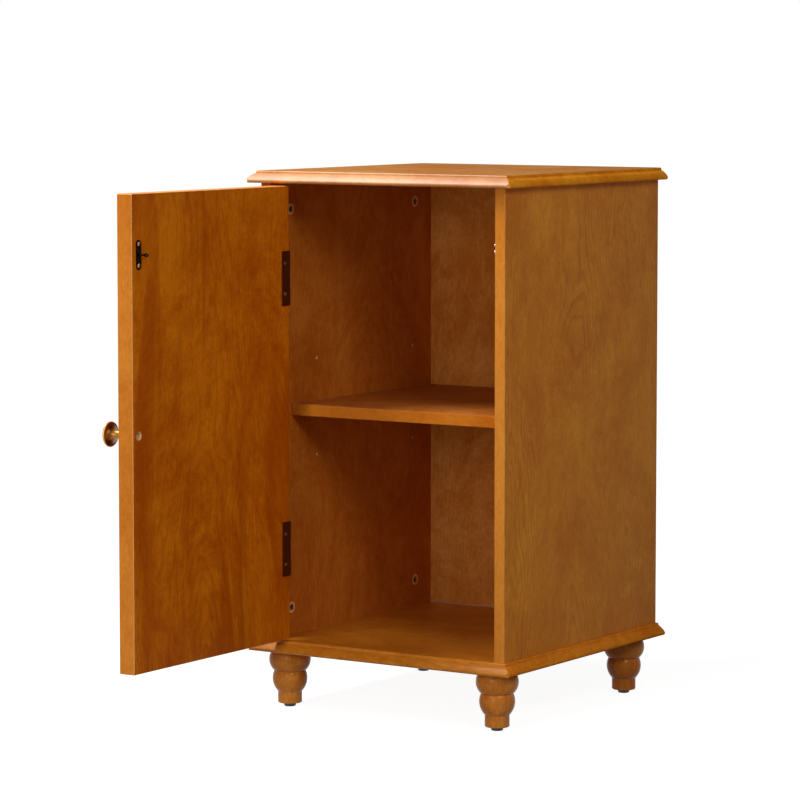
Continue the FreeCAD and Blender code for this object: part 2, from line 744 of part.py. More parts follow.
# Shelf: a loose board, with a blind notch over each of its four pins.
SHELF_HALF = f"({INNER_HALF} - shelf_side_gap)"
SHELF_DEPTH = "(panel_depth - back_thickness - shelf_back_gap - shelf_setback)"
shelf = new_node("shelf")
shelf_plan = new_sketch(shelf, "XY_Plane")
add_rectangle(shelf_plan, f"-{SHELF_HALF}", "0", SHELF_HALF, SHELF_DEPTH)
pad(shelf, shelf_plan, "shelf_thickness")
round_edges(shelf, "shelf_edge_radius", lambda a, b: abs(a.y) + abs(b.y) < size("shelf_edge_radius")
            and abs(a.x - b.x) > size("shelf_thickness"))
notches = new_sketch(shelf, "XY_Plane")
NOTCH_END = f"({SHELF_HALF} + shelf_side_gap - pin_reach - end_clearance)"
for pin_place in PIN_DEPTHS:
    notch_front = f"({pin_place} - shelf_setback - pin_hole_diameter / 2 - notch_play)"
    notch_back = f"({pin_place} - shelf_setback + pin_hole_diameter / 2 + notch_play)"
    add_rectangle(notches, NOTCH_END, notch_front, f"{SHELF_HALF} + cut_overrun", notch_back)
    add_rectangle(notches, f"-{SHELF_HALF} - cut_overrun", notch_front, f"-{NOTCH_END}", notch_back)
cut(shelf, notches, "(shelf_thickness + pin_diameter) / 2 + notch_play", True)
place(shelf, "0", f"{FRONT_Y} + shelf_setback", f"{BASE_TOP} + pin_row_height - shelf_thickness / 2")

# Shelf pins: plain steel pins in the middle row of holes.
shelf_pin = new_body("shelf_pin")
turn_about_z(shelf_pin, [
    ("0", "-pin_depth"),
    ("pin_diameter / 2 - pin_chamfer", "-pin_depth"),
    ("pin_diameter / 2", "pin_chamfer - pin_depth"),
    ("pin_diameter / 2", "pin_reach - pin_chamfer"),
    ("pin_diameter / 2 - pin_chamfer", "pin_reach"),
    ("0", "pin_reach"),
])
new_group("shelf_pins", shelf_pin, [
    (f"{sign} * {INNER_HALF}", f"{FRONT_Y} + {depth}", f"{BASE_TOP} + pin_row_height",
     facing(RIGHTWARD if sign < 0 else LEFTWARD))
    for sign in SIDES.values()
    for depth in PIN_DEPTHS
])

# Feet: each turned from one piece, with a wide bulge, a neck, a ball and a straight toe.
# The outline runs from the top's bolt bore round the outside to the nail hole in the toe.
FOOT_BOLT_BORE = "(foot_bolt_diameter / 2 + fit_clearance)"
FOOT_OUTLINE = [
    (FOOT_BOLT_BORE, "0"),
    (FOOT_BOLT_BORE, "-(foot_bolt_in_foot + end_clearance)"),
    ("0", "-(foot_bolt_in_foot + end_clearance)"),
    ("0", "nail_length + end_clearance - foot_height"),
    ("nail_diameter / 2 + fit_clearance", "nail_length + end_clearance - foot_height"),
    ("nail_diameter / 2 + fit_clearance", "-foot_height"),
    ("foot_toe_diameter / 2 - foot_toe_chamfer", "-foot_height"),
    ("foot_toe_diameter / 2", "foot_toe_chamfer - foot_height"),
    ("foot_toe_diameter / 2", "-foot_ball_end_drop"),
    ("foot_neck_diameter / 2", "-foot_neck_drop", "foot_ball_diameter / 2", "-foot_ball_drop"),
    ("foot_top_diameter / 2", "0", "foot_bulge_diameter / 2", "-foot_bulge_drop"),
]
# Glides: a plastic cap moulded on a nail.
GLIDE_EDGE = "(glide_diameter / 2)"
GLIDE_OUTLINE = [
    ("0", "0"),
    (f"{GLIDE_EDGE} - glide_edge_radius", "0"),
    (GLIDE_EDGE, "glide_edge_radius", f"{GLIDE_EDGE} - glide_edge_radius * {ROUND_SHARE}",
     f"glide_edge_radius * {ROUND_SHARE}"),
    (GLIDE_EDGE, "glide_thickness"),
    ("nail_diameter / 2", "glide_thickness"),
    ("nail_diameter / 2", "glide_thickness + nail_length - nail_diameter"),
    ("0", "glide_thickness + nail_length"),
]
for spot, (foot_x, foot_depth) in FOOT_PLACES.items():
    foot = new_node(f"foot_{spot}")
    turn_about_z(foot, FOOT_OUTLINE)
    place(foot, foot_x, f"{FRONT_Y} + {foot_depth}", BASE_UNDERSIDE)
    glide = new_node(f"glide_{spot}")
    turn_about_z(glide, GLIDE_OUTLINE)
    place(glide, foot_x, f"{FRONT_Y} + {foot_depth}")

# Foot bolts and inserts: a hanger bolt in each foot screws into a threaded insert in the base board.
foot_bolt = new_body("foot_bolt")
turn_about_z(foot_bolt, [
    ("0", "-foot_bolt_in_foot"),
    ("foot_bolt_diameter / 2", "foot_bolt_diameter / 2 - foot_bolt_in_foot"),
    ("foot_bolt_diameter / 2", "foot_bolt_in_board"),
    ("0", "foot_bolt_in_board"),
])
foot_insert = new_body("foot_insert")
turn_about_z(foot_insert, [
    (FOOT_BOLT_BORE, "0"),
    ("insert_diameter / 2", "0"),
    ("insert_diameter / 2", "insert_length"),
    (FOOT_BOLT_BORE, "insert_length"),
])
FOOT_TOPS = [
    (x, f"{FRONT_Y} + {depth}", BASE_UNDERSIDE, FreeCAD.Rotation()) for x, depth in FOOT_PLACES.values()
]
new_group("foot_bolts", foot_bolt, FOOT_TOPS)
new_group("foot_inserts", foot_insert, FOOT_TOPS)

# Door: a slab that stands open at a right angle. Everything on it is drawn from the hinge pins' axis:
# X runs from the outer face to the inner face, and the free edge lies forward, at negative Y.
STRIKE_Y = f"(strike_from_free_edge - {PIN_TO_FREE_EDGE})"
KNOB_Y = f"(knob_from_free_edge - {PIN_TO_FREE_EDGE})"
DOOR_SCREW_Y = f"(-{PIN_TO_HINGE_EDGE} - door_screw_from_edge)"
DOOR_SCREW_SPOTS = [
    (DOOR_SCREW_Y, f"({height} + {sign} * door_screw_from_middle)")
    for height in HINGE_HEIGHTS.values()
    for sign in (-1, 1)
]
STRIKE_SCREW_SPOTS = [
    (STRIKE_Y, f"({STRIKE_HEIGHT} + {sign} * strike_screw_from_middle)") for sign in (-1, 1)
]


def place_on_door(piece, height="0"):
    place(piece, PIN_X, PIN_Y, f"{BASE_TOP} + {height}")


door = new_node("door_panel")
door_plan = new_sketch(door, "XY_Plane", "door_end_gap")
add_rectangle(door_plan, PIN_TO_OUTER_FACE, f"-{PIN_TO_FREE_EDGE}", PIN_TO_INNER_FACE,
              f"-{PIN_TO_HINGE_EDGE}")
pad(door, door_plan, "panel_height - 2 * door_end_gap")
round_edges(door, "door_edge_radius", lambda a, b: True)
drill(door, "YZ_Plane", PIN_TO_INNER_FACE, DOOR_SCREW_SPOTS, SCREW_BORE,
      "(door_screw_length - leaf_thickness + end_clearance)")
drill(door, "YZ_Plane", PIN_TO_INNER_FACE, STRIKE_SCREW_SPOTS, SCREW_BORE,
      "(strike_screw_length - strike_thickness + end_clearance)")
knob_spot = (KNOB_Y, "knob_height")
drill(door, "YZ_Plane", PIN_TO_INNER_FACE, [knob_spot], "counterbore_diameter", "counterbore_depth")
drill(door, "YZ_Plane", PIN_TO_INNER_FACE, [knob_spot], "(knob_screw_diameter + 2 * fit_clearance)",
      "door_thickness")
place_on_door(door)

# Hinges: partial-wrap butts. The door leaf lies on the door's inner face and wraps round its hinge edge
# to the upper and lower knuckles. The cabinet leaf lies on the panel and carries the middle knuckle.
KNUCKLE_LENGTH = f"(leaf_height / {KNUCKLES_PER_LEAF})"
OUTER_KNUCKLE = f"({KNUCKLE_LENGTH} - knuckle_gap)"
PIN_BORE = "(hinge_pin_diameter + 2 * running_clearance)"
LEAF_FACE = f"({PIN_TO_INNER_FACE} + leaf_thickness)"
WRAP_FACE = f"(leaf_thickness - {PIN_TO_HINGE_EDGE})"


def add_door_leaf(name, height):
    leaf = new_node(name)
    flap = new_sketch(leaf, "XY_Plane", "-leaf_height / 2")
    add_rectangle(flap, PIN_TO_INNER_FACE, f"-{PIN_TO_HINGE_EDGE} - door_leaf_width", LEAF_FACE,
                  f"-{PIN_TO_HINGE_EDGE}")
    pad(leaf, flap, "leaf_height")
    for start in ("-leaf_height / 2", f"leaf_height / 2 - {OUTER_KNUCKLE}"):
        wrap = new_sketch(leaf, "XY_Plane", start)
        add_outline(wrap, [
            ("0", WRAP_FACE),
            ("0", f"-{PIN_TO_HINGE_EDGE}"),
            (LEAF_FACE, f"-{PIN_TO_HINGE_EDGE}"),
            (PIN_TO_INNER_FACE, WRAP_FACE, f"{LEAF_FACE} - leaf_thickness * {ROUND_SHARE}",
             f"{WRAP_FACE} - leaf_thickness * {ROUND_SHARE}"),
        ])
        pad(leaf, wrap, OUTER_KNUCKLE)
        knuckle = new_sketch(leaf, "XY_Plane", start)
        add_circle(knuckle, ("0", "0"), "knuckle_diameter")
        pad(leaf, knuckle, OUTER_KNUCKLE)
    drill(leaf, "XY_Plane", "0", [("0", "0")], PIN_BORE)
    countersink(leaf, "YZ_Plane", LEAF_FACE,
                [(DOOR_SCREW_Y, f"{sign} * door_screw_from_middle") for sign in (-1, 1)],
                "hinge_screw_diameter", "hinge_screw_head")
    place_on_door(leaf, height)


def add_cabinet_leaf(name, height):
    leaf = new_node(name)
    flap = new_sketch(leaf, "XY_Plane", "-leaf_height / 2")
    add_rectangle(flap, "-hinge_pin_aside", "cabinet_leaf_start", "leaf_thickness - hinge_pin_aside",
                  "cabinet_leaf_end")
    pad(leaf, flap, "leaf_height")
    neck = new_sketch(leaf, "XY_Plane", f"-{KNUCKLE_LENGTH} / 2")
    add_rectangle(neck, "-hinge_pin_aside", "0", "leaf_thickness - hinge_pin_aside", "cabinet_leaf_start")
    pad(leaf, neck, KNUCKLE_LENGTH)
    knuckle = new_sketch(leaf, "XY_Plane", f"-{KNUCKLE_LENGTH} / 2")
    add_circle(knuckle, ("0", "0"), "knuckle_diameter")
    pad(leaf, knuckle, KNUCKLE_LENGTH)
    drill(leaf, "XY_Plane", "0", [("0", "0")], PIN_BORE)
    countersink(leaf, "YZ_Plane", "leaf_thickness - hinge_pin_aside",
                [("cabinet_screw_back", f"{sign} * cabinet_screw_from_middle") for sign in (-1, 1)],
                "hinge_screw_diameter", "hinge_screw_head")
    place_on_door(leaf, height)


def add_hinge_pin(name, height):
    """A pin with a small button at each end, just clear of the knuckles."""
    hinge_pin = new_node(name)
    shank, tip = "(hinge_pin_diameter / 2)", "(hinge_pin_tip_diameter / 2)"
    reach = "(leaf_height / 2 + end_clearance)"
    end = f"({reach} + hinge_pin_tip_height)"
    turn_about_z(hinge_pin, [
        ("0", f"-{end}"),
        ("dome_flat_radius", f"-{end}"),
        (tip, f"-{reach}", f"{tip} * {DOME_MIDDLE_SHARES[0]}",
         f"-{reach} - hinge_pin_tip_height * {DOME_MIDDLE_SHARES[1]}"),
        (shank, f"-{reach}"),
        (shank, reach),
        (tip, reach),
    ] + dome(tip, reach, "hinge_pin_tip_height"))
    place_on_door(hinge_pin, height)


for which, hinge_height in HINGE_HEIGHTS.items():
    add_door_leaf(f"{which}_hinge_door_leaf", hinge_height)
    add_cabinet_leaf(f"{which}_hinge_cabinet_leaf", hinge_height)
    add_hinge_pin(f"{which}_hinge_pin", hinge_height)

hinge_door_screw = new_wood_screw("hinge_door_screw", "hinge_screw_diameter", "hinge_screw_head",
                                  "door_screw_length", "hinge_screw_dome")
new_group("hinge_door_screws", hinge_door_screw, [
    (f"{PIN_X} + {LEAF_FACE}", f"{PIN_Y} + {y}", f"{BASE_TOP} + {z}", facing(RIGHTWARD))
    for y, z in DOOR_SCREW_SPOTS
])
hinge_cabinet_screw = new_wood_screw("hinge_cabinet_screw", "hinge_screw_diameter", "hinge_screw_head",
                                     "cabinet_screw_length")
new_group("hinge_cabinet_screws", hinge_cabinet_screw, [
    (f"leaf_thickness - {INNER_HALF}", f"{FRONT_Y} + {depth}", f"{BASE_TOP} + {z}", facing(RIGHTWARD))
    for depth, z in HINGE_SCREW_SPOTS
])

# Knob: a turned mushroom on the door's outer face, with a threaded bore for its screw.
KNOB_BORE = "(knob_screw_diameter / 2 + fit_clearance)"
KNOB_BASE = "(knob_base_diameter / 2)"
KNOB_NECK = "(knob_neck_diameter / 2)"
KNOB_FLARE = "(knob_flare_diameter / 2)"
KNOB_RIM = "(knob_diameter / 2 - knob_rim_radius)"
UNDER_RIM = "(knob_rim_height - knob_rim_radius)"
OVER_RIM = "(knob_rim_height + knob_rim_radius)"
BELL_MIDDLE = (
    f"{KNOB_FLARE} + ({KNOB_RIM} - {KNOB_FLARE}) * {KNOB_BELL_SHARES[0]}",
    f"knob_flare_height + ({UNDER_RIM} - knob_flare_height) * {KNOB_BELL_SHARES[1]}",
)
knob = new_node("knob")
knob_outline = [
    (KNOB_BORE, "knob_screw_in_knob + end_clearance"),
    (KNOB_BORE, "0"),
    (KNOB_BASE, "0"),
    (KNOB_NECK, "knob_neck_height", f"{KNOB_NECK} + ({KNOB_BASE} - {KNOB_NECK}) * {ROUND_SHARE}",
     "knob_neck_height / 2"),
    (KNOB_FLARE, "knob_flare_height", f"{KNOB_NECK} + ({KNOB_FLARE} - {KNOB_NECK}) * {ROUND_SHARE}",
     "(knob_neck_height + knob_flare_height) / 2"),
    (KNOB_RIM, UNDER_RIM) + BELL_MIDDLE,
    (KNOB_RIM, OVER_RIM, "knob_diameter / 2", "knob_rim_height"),
]
knob_outline += dome(KNOB_RIM, OVER_RIM, f"(knob_projection - {OVER_RIM})")
knob_outline.append(("0", "knob_screw_in_knob + end_clearance"))
turn_about_z(knob, knob_outline)
place(knob, f"{PIN_X} + {PIN_TO_OUTER_FACE}", f"{PIN_Y} + {KNOB_Y}", f"{BASE_TOP} + knob_height",
      facing(LEFTWARD))

# Knob screw: its head lies at the bottom of the counterbore.
knob_screw = new_pan_screw("knob_screw", "knob_screw_diameter", "knob_screw_head", "knob_screw_head_height",
                           "(door_thickness - counterbore_depth + knob_screw_in_knob)")
nodes.append(knob_screw)
place(knob_screw, f"{PIN_X} + {PIN_TO_INNER_FACE} - counterbore_depth", f"{PIN_Y} + {KNOB_Y}",
      f"{BASE_TOP} + knob_height", facing(RIGHTWARD))

# Striker: a plate with round ends on the door's inner face, two screws, and a spear with a neck and a bulb.
strike_plate = new_node("strike_plate")
strike_sketch = new_sketch(strike_plate, "YZ_Plane", PIN_TO_INNER_FACE)
STRIKE_LEFT = f"({STRIKE_Y} - strike_width / 2)"
STRIKE_RIGHT = f"({STRIKE_Y} + strike_width / 2)"
STRIKE_TOP = f"({STRIKE_HEIGHT} + strike_length / 2)"
STRIKE_BOTTOM = f"({STRIKE_HEIGHT} - strike_length / 2)"
add_outline(strike_sketch, [
    (STRIKE_RIGHT, f"{STRIKE_BOTTOM} + strike_width / 2", STRIKE_Y, STRIKE_BOTTOM),
    (STRIKE_RIGHT, f"{STRIKE_TOP} - strike_width / 2"),
    (STRIKE_LEFT, f"{STRIKE_TOP} - strike_width / 2", STRIKE_Y, STRIKE_TOP),
    (STRIKE_LEFT, f"{STRIKE_BOTTOM} + strike_width / 2"),
])
pad(strike_plate, strike_sketch, "strike_thickness")
countersink(strike_plate, "YZ_Plane", f"{PIN_TO_INNER_FACE} + strike_thickness", STRIKE_SCREW_SPOTS,
            "hinge_screw_diameter", "strike_screw_head")
place_on_door(strike_plate)

strike_screw = new_wood_screw("strike_screw", "hinge_screw_diameter", "strike_screw_head",
                              "strike_screw_length", "hinge_screw_dome")
STRIKE_FACE_X = f"({PIN_X} + {PIN_TO_INNER_FACE} + strike_thickness)"
new_group("strike_screws", strike_screw, [
    (STRIKE_FACE_X, f"{PIN_Y} + {y}", f"{BASE_TOP} + {z}", facing(RIGHTWARD)) for y, z in STRIKE_SCREW_SPOTS
])

spear = new_node("strike_spear")
turn_about_z(spear, [
    ("0", "0"),
    ("spear_collar_diameter / 2", "0"),
    ("spear_collar_diameter / 2", "spear_collar_length"),
    ("spear_neck_diameter / 2", "spear_neck_start"),
    ("spear_neck_diameter / 2", "spear_neck_end"),
    ("spear_tip_diameter / 2", "spear_length", "spear_bulb_diameter / 2", "spear_bulb_middle"),
    ("0", "spear_length"),
])
place(spear, STRIKE_FACE_X, f"{PIN_Y} + {STRIKE_Y}", STRIKE_Z, facing(RIGHTWARD))

# Catch: a bracket on the right panel's inner face carries two sprung arms, each with a roller.
# It is drawn from the panel's inner face, with X into the cabinet counted negative.


def place_on_catch(piece):
    place(piece, INNER_HALF, FRONT_Y, STRIKE_Z)


bracket = new_node("catch_bracket")
bracket_sketch = new_sketch(bracket, "YZ_Plane")
add_rectangle(bracket_sketch, "bracket_front", "-bracket_height / 2", "bracket_back", "bracket_height / 2")
pad(bracket, bracket_sketch, "bracket_thickness", True)
round_edges(bracket, "bracket_corner_radius", lambda a, b: abs(a.x - b.x) > size("bracket_thickness / 2"))
stop_sketch = new_sketch(bracket, "YZ_Plane")
add_rectangle(stop_sketch, "stop_front", "-stop_height / 2", "stop_back", "stop_height / 2")
pad(bracket, stop_sketch, "stop_reach", True)
drill(bracket, "YZ_Plane", "0",
      [("bracket_screw_depth", f"{sign} * bracket_screw_from_middle") for sign in (-1, 1)], SCREW_BORE)
drill(bracket, "YZ_Plane", "0", [("pivot_depth", f"{sign} * pivot_from_middle") for sign in (-1, 1)],
      "(pivot_diameter + 2 * fit_clearance)")
place_on_catch(bracket)

catch_screw = new_pan_screw("catch_screw", "hinge_screw_diameter", "bracket_screw_head",
                            "bracket_screw_head_height", "bracket_screw_length")
new_group("catch_screws", catch_screw, [
    (f"{INNER_HALF} - bracket_thickness", f"{FRONT_Y} + {depth}", f"{BASE_TOP} + {z}", facing(LEFTWARD))
    for depth, z in BRACKET_SCREW_SPOTS
])

# Pivot pins: riveted in the bracket, with a head past the arm.
PIVOT_HEAD = "(arm_offset + arm_thickness + end_clearance)"
pivot_pin = new_body("pivot_pin")
turn_about_z(pivot_pin, [
    ("0", "end_clearance"),
    ("pivot_diameter / 2", "end_clearance"),
    ("pivot_diameter / 2", PIVOT_HEAD),
    ("pivot_head_diameter / 2", PIVOT_HEAD),
    ("pivot_head_diameter / 2", f"{PIVOT_HEAD} + pivot_head_height"),
    ("0", f"{PIVOT_HEAD} + pivot_head_height"),
])
new_group("arm_pivot_pins", pivot_pin, [
    (INNER_HALF, f"{FRONT_Y} + pivot_depth", f"{STRIKE_Z} + {sign} * pivot_from_middle", facing(LEFTWARD))
    for sign in (-1, 1)
])

AXLE_HEAD = "(arm_offset + arm_thickness + 2 * roller_side_gap + roller_length)"


def add_catch_arm(name, sign):
    """A flat lever with a hub on the pivot pin and an eye for the roller's axle."""
    arm = new_node(name)
    hub = ("pivot_depth", f"{sign} * pivot_from_middle")
    eye = ("roller_depth", f"{sign} * roller_from_middle")
    for centre, diameter in ((hub, "arm_hub_diameter"), (eye, "arm_eye_diameter")):
        disc = new_sketch(arm, "YZ_Plane", "-arm_offset")
        add_circle(disc, centre, diameter)
        pad(arm, disc, "arm_thickness", True)
    bar = new_sketch(arm, "YZ_Plane", "-arm_offset")
    add_outline(bar, [
        (eye[0], f"{eye[1]} - arm_width / 2"),
        (hub[0], f"{hub[1]} - arm_width / 2"),
        (hub[0], f"{hub[1]} + arm_width / 2"),
        (eye[0], f"{eye[1]} + arm_width / 2"),
    ])
    pad(arm, bar, "arm_thickness", True)
    drill(arm, "YZ_Plane", "0", [hub], "(pivot_diameter + 2 * running_clearance)")
    drill(arm, "YZ_Plane", "0", [eye], "(axle_diameter + 2 * fit_clearance)")
    place_on_catch(arm)


def add_axle(name, sign):
    """A rivet through the arm's eye that carries the roller."""
    axle = new_node(name)
    turn_about_z(axle, [
        ("0", "arm_offset - axle_tail_height"),
        ("axle_head_diameter / 2", "arm_offset - axle_tail_height"),
        ("axle_head_diameter / 2", "arm_offset"),
        ("axle_diameter / 2", "arm_offset"),
        ("axle_diameter / 2", AXLE_HEAD),
        ("axle_head_diameter / 2", AXLE_HEAD),
    ] + dome("(axle_head_diameter / 2)", AXLE_HEAD, "axle_head_height"))
    place_at_eye(axle, sign)


def add_roller(name, sign):
    """A small round-edged roller that turns on the axle."""
    roller = new_node(name)
    start = "(arm_offset + arm_thickness + roller_side_gap)"
    bore = "(axle_diameter / 2 + running_clearance)"
    rim = "(roller_diameter / 2)"
    turn_about_z(roller, [
        (bore, start),
        (f"{rim} - roller_edge_radius", start),
        (rim, f"{start} + roller_edge_radius", f"{rim} - roller_edge_radius * {ROUND_SHARE}",
         f"{start} + roller_edge_radius * {ROUND_SHARE}"),
        (rim, f"{start} + roller_length - roller_edge_radius"),
        (f"{rim} - roller_edge_radius", f"{start} + roller_length",
         f"{rim} - roller_edge_radius * {ROUND_SHARE}",
         f"{start} + roller_length - roller_edge_radius * {ROUND_SHARE}"),
        (bore, f"{start} + roller_length"),
    ])
    place_at_eye(roller, sign)


def place_at_eye(piece, sign):
    place(piece, INNER_HALF, f"{FRONT_Y} + roller_depth", f"{STRIKE_Z} + {sign} * roller_from_middle",
          facing(LEFTWARD))


def add_arm_spring(name, sign):
    """The coil's outer shape as a sleeve round the pivot pin, with a leg along the arm."""
    spring = new_node(name)
    start = "(arm_offset - spring_side_gap - spring_length)"
    hub = ("pivot_depth", f"{sign} * pivot_from_middle")
    coil = new_sketch(spring, "YZ_Plane", f"-{start}")
    add_circle(coil, hub, "spring_diameter")
    pad(spring, coil, "spring_length", True)
    leg = new_sketch(spring, "YZ_Plane", f"-({start} + spring_length - spring_wire_diameter)")
    outer = f"({hub[1]} + {sign} * spring_diameter / 2)"
    add_rectangle(leg, "pivot_depth - spring_leg_length", f"{outer} - {sign} * spring_wire_diameter",
                  "pivot_depth", outer)
    pad(spring, leg, "spring_wire_diameter", True)
    drill(spring, "YZ_Plane", "0", [hub], "(spring_diameter - 2 * spring_wire_diameter)")
    place_on_catch(spring)


for which, sign in (("upper", 1), ("lower", -1)):
    add_catch_arm(f"{which}_roller_arm", sign)
    add_axle(f"{which}_roller_axle", sign)
    add_roller(f"{which}_roller", sign)
    add_arm_spring(f"{which}_arm_spring", sign)

# Every object is checked before anything is written
doc.recompute()
for item in doc.Objects:
    if "Invalid" in item.State or "Error" in item.State:
        raise ValueError(f"{item.Name} did not build: {item.State}")
for node in nodes:
    if node.Shape.isNull() or not node.Shape.isValid() or not node.Shape.Solids:
        raise ValueError(f"{node.Label} has no valid solid")

os.makedirs("parts", exist_ok=True)
for node in nodes:
    node.Shape.exportStep(os.path.join("parts", node.Label + ".step"))
    print(node.Label, len(node.Shape.Solids), round(node.Shape.Volume, 1))
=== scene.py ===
import math

import bpy
import numpy as np
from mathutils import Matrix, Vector


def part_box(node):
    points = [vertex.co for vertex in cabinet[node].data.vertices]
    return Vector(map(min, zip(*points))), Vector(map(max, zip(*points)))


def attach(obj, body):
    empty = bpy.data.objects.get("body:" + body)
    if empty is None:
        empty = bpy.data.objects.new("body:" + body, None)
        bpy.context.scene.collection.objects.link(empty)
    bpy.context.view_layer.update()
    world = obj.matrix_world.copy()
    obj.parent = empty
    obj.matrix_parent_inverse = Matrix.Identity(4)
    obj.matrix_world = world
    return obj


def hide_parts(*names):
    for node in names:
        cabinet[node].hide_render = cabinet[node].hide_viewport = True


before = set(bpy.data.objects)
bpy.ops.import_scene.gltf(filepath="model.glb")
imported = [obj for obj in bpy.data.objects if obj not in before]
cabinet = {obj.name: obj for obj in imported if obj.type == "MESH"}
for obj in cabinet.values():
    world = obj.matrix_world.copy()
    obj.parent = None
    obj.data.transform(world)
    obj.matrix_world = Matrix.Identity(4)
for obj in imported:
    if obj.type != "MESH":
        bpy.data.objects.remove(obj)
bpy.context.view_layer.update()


# Top and base boards: two equal boards in maple, stained honey brown and lacquered. Each has a moulding
# along its front and its sides, which meets in mitres at the front corners. They are bolted and dowelled
# to the ends of the side panels.
def paint(red, green, blue):
    """A colour from its three screen values of 0 to 255, as the shader's linear values."""
    screen = np.array([red, green, blue]) / 255
    linear = np.where(screen <= 0.04045, screen / 12.92, ((screen + 0.055) / 1.055) ** 2.4)
    return (*linear, 1.0)


def new_finish(name):
    """A material with an empty node tree, and its object coordinates."""
    finish = bpy.data.materials.new(name)
    finish.use_nodes = True
    tree = finish.node_tree
    tree.nodes.clear()
    return finish, tree, tree.nodes.new("ShaderNodeTexCoord").outputs["Object"]


def step(tree, kind, inputs, **settings):
    """Adds one node. An input is a value, or another node's output that is linked to it."""
    node = tree.nodes.new(kind)
    for key, value in settings.items():
        setattr(node, key, value)
    for key, value in inputs.items():
        if isinstance(value, bpy.types.NodeSocket):
            tree.links.new(value, node.inputs[key])
        else:
            node.inputs[key].default_value = value
    return node


def sums(tree, operation, *values):
    """The result of one arithmetic step."""
    return step(tree, "ShaderNodeMath", dict(enumerate(values)), operation=operation).outputs[0]


def vectors(tree, operation, *values):
    """The result of one arithmetic step on vectors."""
    return step(tree, "ShaderNodeVectorMath", dict(enumerate(values)), operation=operation).outputs[0]


def length(tree, value):
    """The length of a vector."""
    return step(tree, "ShaderNodeVectorMath", {0: value}, operation="LENGTH").outputs["Value"]


def spread(tree, value, low, high, to_low=0.0, to_high=1.0):
    """The value with low to high eased to to_low to to_high."""
    inputs = {"Value": value, "From Min": low, "From Max": high, "To Min": to_low, "To Max": to_high}
    return step(tree, "ShaderNodeMapRange", inputs, interpolation_type="SMOOTHSTEP").outputs[0]


def mingle(tree, share, first, second, way="MIX"):
    """Two colours mixed by a share from 0 to 1."""
    inputs = {0: share, 6: first, 7: second}
    return step(tree, "ShaderNodeMix", inputs, data_type="RGBA", blend_type=way).outputs[2]


def grain_noise(tree, point, across, along, detail, roughness=0.5, distortion=0.0):
    """Noise with so many waves a metre across the grain and so many along it."""
    scaled = step(tree, "ShaderNodeMapping", {"Vector": point, "Scale": (across, across, along)})
    inputs = {"Vector": scaled.outputs[0], "Scale": 1.0, "Detail": detail, "Roughness": roughness,
              "Distortion": distortion}
    return step(tree, "ShaderNodeTexNoise", inputs).outputs["Fac"]


def split(tree, point):
    """The three coordinates of a point."""
    return step(tree, "ShaderNodeSeparateXYZ", {0: point}).outputs


def relief(tree, height, strength, depth):
    """The surface's direction over a fine relief."""
    return step(tree, "ShaderNodeBump", {"Strength": strength, "Distance": depth, "Height": height}).outputs[0]


def give_surface(tree, **inputs):
    """Joins a surface with these inputs to the material's output."""
    named = {key.replace("_", " "): value for key, value in inputs.items()}
    surface = step(tree, "ShaderNodeBsdfPrincipled", named).outputs[0]
    step(tree, "ShaderNodeOutputMaterial", {0: surface})


def inside_of(tree, point, node, skin):
    """1 where the point lies deeper than the skin in the node's box, and 0 on its outer faces."""
    low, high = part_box(node)
    middle, half = (low + high) / 2, (high - low) / 2
    apart = vectors(tree, "ABSOLUTE", vectors(tree, "SUBTRACT", point, middle))
    past = split(tree, vectors(tree, "SUBTRACT", apart, (half.x - skin, half.y - skin, half.z - skin)))
    most = sums(tree, "MAXIMUM", sums(tree, "MAXIMUM", past[0], past[1]), past[2])
    return sums(tree, "LESS_THAN", most, 0.0)


def shade(colour, depth):
    """The colour a step lighter or darker, as stained wood changes: green twice as much as red, blue most."""
    return (*(value * math.exp(depth * way) for value, way in zip(colour, (0.5, 1.0, 2.0))), 1.0)


def two_tones(tree, tone, stain, depth):
    """A stain that runs from its darker to its lighter shade with the tone."""
    return mingle(tree, tone, shade(stain, -depth), shade(stain, depth))


# A turn brings the grain to the pattern's third axis.
GRAIN_UPRIGHT = (0.0, 0.0, 0.0)
GRAIN_SIDEWAYS = (0.0, math.pi / 2, 0.0)
GRAIN_BACK = (0.0, 0.0, math.pi / 2)
GRAIN_ENDWISE = (math.pi / 2, 0.0, 0.0)
# Noises: waves a metre across and along the grain, detail, roughness and distortion.
MOTTLING = (6.0, 4.5, 8.0, 0.88, 0.4)
STREAKS = (30.0, 4.5, 3.0, 0.6, 0.8)
BROAD_STREAKS = (11.0, 2.0, 4.0, 0.6, 1.5)
RING_BENDS = (8.0, 3.2, 3.0, 0.5, 0.5)
RING_GAPS = (6.0, 2.5, 1.0)
FIBRES = (900.0, 80.0, 2.0, 0.6)
FLECKS = (330.0, 95.0, 2.0, 0.7)
MOTTLING_SHARE, STREAK_SHARE, TONE_SHIFT = 4.8, 0.4, -2.1
BROAD_FROM, BROAD_TO, BROAD_SHADE = 0.48, 0.68, -0.9
RINGS_A_METRE, RINGS_BENT, HEART_DEPTH, HEART_LEAN, RING_SHADE = 150.0, 16.0, 0.02, 0.1, -1.2
LINE_FROM, LINE_DARKEST, LINE_TO = 0.5, 0.94, 0.96
GAPS_FROM, GAPS_TO = 0.38, 0.6
FLECK_SHARE, FIBRE_SHARE, FINE_LEAST = 0.42, 0.1, 0.74
GRAIN_RELIEF, GRAIN_DEPTH, LINE_SINK, FIBRE_ROUGHNESS = 0.1, 0.0003, -0.5, 0.16
